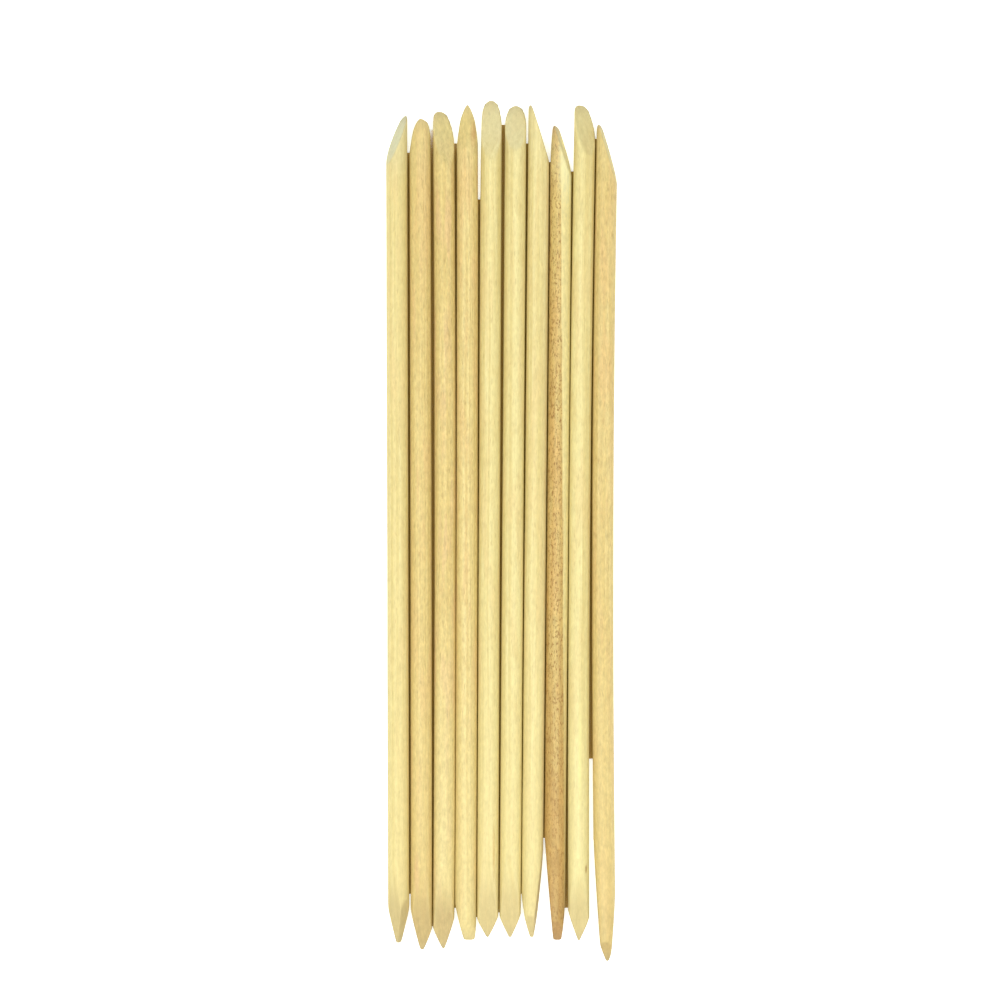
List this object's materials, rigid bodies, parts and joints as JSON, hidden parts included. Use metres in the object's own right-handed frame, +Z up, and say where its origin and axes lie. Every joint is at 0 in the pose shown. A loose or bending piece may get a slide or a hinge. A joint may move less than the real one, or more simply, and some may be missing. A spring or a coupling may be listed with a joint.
{
  "type": "cuticle pusher",
  "caption": "Row of loose round wooden cuticle sticks, each with a slanted hoof face for pushing at one end and a flattened point for cleaning under a nail at the other.",
  "frame": {"origin": "on the surface the sticks lie on, at the middle of the row's bounding box", "axes": "+Y along the sticks towards their hoof ends, +X across the row to the right when seen from above with the hoof ends up, +Z up from the surface"},
  "size_m": [0.0496, 0.1841, 0.0045],
  "materials": {
    "pale_wood": "plain sanded pale hardwood, no varnish, long fine grain",
    "honey_wood": "plain sanded honey-coloured hardwood, no varnish, long fine grain",
    "dark_wood": "plain sanded brown hardwood with dark flecks and one pale sapwood side"
  },
  "bodies": {
    "stick_01": {"stick_01": "pale_wood"},
    "stick_02": {"stick_02": "honey_wood"},
    "stick_03": {"stick_03": "honey_wood"},
    "stick_04": {"stick_04": "honey_wood"},
    "stick_05": {"stick_05": "pale_wood"},
    "stick_06": {"stick_06": "pale_wood"},
    "stick_07": {"stick_07": "pale_wood"},
    "stick_08": {"stick_08": "dark_wood"},
    "stick_09": {"stick_09": "pale_wood"},
    "stick_10": {"stick_10": "honey_wood"}
  },
  "joints": [
    {"name": "stick_01_lift", "type": "slide", "parent": "stick_05", "child": "stick_01", "axis": [0, 0, 1], "range_m": [0, 0.03]},
    {"name": "stick_02_lift", "type": "slide", "parent": "stick_05", "child": "stick_02", "axis": [0, 0, 1], "range_m": [0, 0.03]},
    {"name": "stick_03_lift", "type": "slide", "parent": "stick_05", "child": "stick_03", "axis": [0, 0, 1], "range_m": [0, 0.03]},
    {"name": "stick_04_lift", "type": "slide", "parent": "stick_05", "child": "stick_04", "axis": [0, 0, 1], "range_m": [0, 0.03]},
    {"name": "stick_06_lift", "type": "slide", "parent": "stick_05", "child": "stick_06", "axis": [0, 0, 1], "range_m": [0, 0.03]},
    {"name": "stick_07_lift", "type": "slide", "parent": "stick_05", "child": "stick_07", "axis": [0, 0, 1], "range_m": [0, 0.03]},
    {"name": "stick_08_lift", "type": "slide", "parent": "stick_05", "child": "stick_08", "axis": [0, 0, 1], "range_m": [0, 0.03]},
    {"name": "stick_09_lift", "type": "slide", "parent": "stick_05", "child": "stick_09", "axis": [0, 0, 1], "range_m": [0, 0.03]},
    {"name": "stick_10_lift", "type": "slide", "parent": "stick_05", "child": "stick_10", "axis": [0, 0, 1], "range_m": [0, 0.03]}
  ]
}
